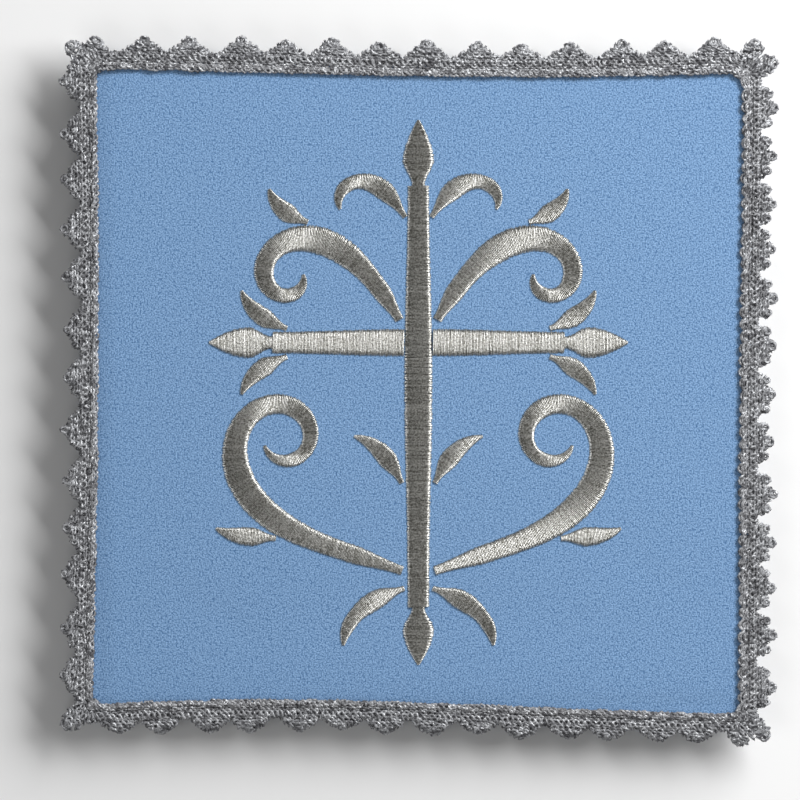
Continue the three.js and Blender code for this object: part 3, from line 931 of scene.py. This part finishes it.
satin_thread = thread_finish()
satin_stitches = stitch_tree(satin_thread)
cross, padding_points, padding_faces = [], [], []
for number, (name, path) in enumerate(strokes.items()):
    path = path + (*place, 0, 0)
    points, faces = padding_sections(path)
    padding_faces += [[corner + len(padding_points) for corner in face] for face in faces]
    padding_points += points.tolist()
    foot = np.full(len(path), PANEL_THICKNESS + STITCH_FOOT)
    edges = [(k, k + 1) for k in range(len(path) - 1)]
    stroke = new_piece(f"satin_{name}", np.column_stack((path[:, :2], foot)), edges=edges)
    for attribute, values in (("half_width", path[:, 3] / 2 * MM), ("heading", path[:, 2])):
        stroke.data.attributes.new(attribute, "FLOAT", "POINT").data.foreach_set("value", values)
    grow(stroke, satin_stitches, {
        "Pitch": STITCH_PITCH * MM,
        "Radius": STITCH_RADIUS * MM,
        "Base": STITCH_BASE * MM,
        "Crown": STITCH_CROWN,
        "Easing": STITCH_EASING,
        "Fullness": STITCH_FULLNESS,
        "Dome": STITCH_DOME,
        "Seed": STITCH_SEED + STROKE_SEEDS * number,
    })
    stroke.data.shade_smooth()
    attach(stroke, "root")
    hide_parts(name)
    cross.append(stroke)

padding = new_piece("padding", padding_points, padding_faces)
padding.data.materials.append(satin_thread)
padding.data.shade_smooth()
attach(padding, "root")


# Floor, light and camera
# The pall lies on white board, lit from the upper right, and is seen from straight above. The cloth
# with its lace, the thread and the floor each have lights of their own, which set their tones.
FLOOR_HALF = 4.0
BOARD_COLOUR = (0.75, 0.75, 0.75, 1.0)
CAMERA_HEIGHT = 1.2
FRAME_WIDTH = 0.2  # of the picture, on the cloth
FRAME_MIDDLE = np.array((-4.625, -2.375))  # of the picture, from the field's own origin
LIGHTS = [
    {
        "name": "cloth_key", "on": "cloth", "degrees": 46, "elevation": 37, "distance": 0.9,
        "wide": 0.46, "tall": 0.23, "power": 8.7,
    },
    {
        "name": "cloth_fill", "on": "cloth", "degrees": 45, "elevation": 90, "distance": 1.2,
        "wide": 3.0, "tall": 3.0, "power": 13.5,
    },
    {
        "name": "thread_key", "on": "thread", "degrees": 12, "elevation": 32, "distance": 1.2,
        "wide": 0.7, "tall": 0.3, "power": 20.0,
    },
    {
        "name": "thread_kicker", "on": "thread", "degrees": 184, "elevation": 18, "distance": 1.2,
        "wide": 0.9, "tall": 0.2, "power": 5.0,
    },
    {
        "name": "floor_key", "on": "floor", "degrees": 34.5, "elevation": 11.6, "distance": 1.2,
        "wide": 1.4, "tall": 0.48, "power": 83.0,
    },
    {
        "name": "floor_back", "on": "floor", "degrees": 225, "elevation": 25, "distance": 1.2,
        "wide": 1.2, "tall": 0.6, "power": 5.0,
    },
]
SKY_LOW = 0.34  # brightness of the surroundings near the floor and overhead
SKY_HIGH = 0.04

floor_corners = np.array([(-1, -1, 0), (1, -1, 0), (1, 1, 0), (-1, 1, 0)])
floor = new_piece("floor", floor_corners * FLOOR_HALF / MM, [(0, 1, 2, 3)])
board, start = new_material("white_board")
paper = start.node("ShaderNodeBsdfPrincipled", None, {"Base Color": BOARD_COLOUR, "Roughness": 0.9})
start.node("ShaderNodeOutputMaterial", None, {"Surface": paper})
floor.data.materials.append(board)

lit = {}
for name, pieces in (("cloth", [panel, *lace]), ("thread", [*cross, padding]), ("floor", [floor])):
    lit[name] = bpy.data.collections.new(f"lit_{name}")
    for piece in pieces:
        lit[name].objects.link(piece)

middle = Vector((*(place * MM), PANEL_THICKNESS * MM))
for row in LIGHTS:
    around, up = math.radians(row["degrees"]), math.radians(row["elevation"])
    way = Vector((math.cos(around) * math.cos(up), math.sin(around) * math.cos(up), math.sin(up)))
    lamp = bpy.data.lights.new(row["name"], "AREA")
    lamp.shape = "RECTANGLE"
    lamp.size, lamp.size_y = row["wide"], row["tall"]
    lamp.energy = row["power"]
    holder = bpy.data.objects.new(row["name"], lamp)
    holder.location = middle + way * row["distance"]
    holder.rotation_euler = way.to_track_quat("Z", "Y").to_euler()
    holder.visible_camera = False
    holder.light_linking.receiver_collection = lit[row["on"]]
    bpy.context.scene.collection.objects.link(holder)

world = bpy.data.worlds.new("studio")
world.use_nodes = True
world.node_tree.nodes.clear()
sky = Wire(world.node_tree)
upward = sky.node("ShaderNodeTexCoord", output="Generated")
upward = sky.node("ShaderNodeSeparateXYZ", None, {0: upward}, output="Z")
strength = SKY_LOW + (SKY_HIGH - SKY_LOW) * sky.math("MAXIMUM", upward)
background = sky.node("ShaderNodeBackground", None, {"Color": (1.0, 1.0, 1.0, 1.0), "Strength": strength})
sky.node("ShaderNodeOutputWorld", None, {"Surface": background})
bpy.context.scene.world = world

camera = bpy.data.objects.new("camera", bpy.data.cameras.new("camera"))
camera.data.lens = camera.data.sensor_width * CAMERA_HEIGHT / FRAME_WIDTH
camera.location = (*((place + FRAME_MIDDLE) * MM), PANEL_THICKNESS * MM + CAMERA_HEIGHT)
bpy.context.scene.collection.objects.link(camera)
bpy.context.scene.camera = camera
bpy.context.scene.view_settings.view_transform = "Standard"
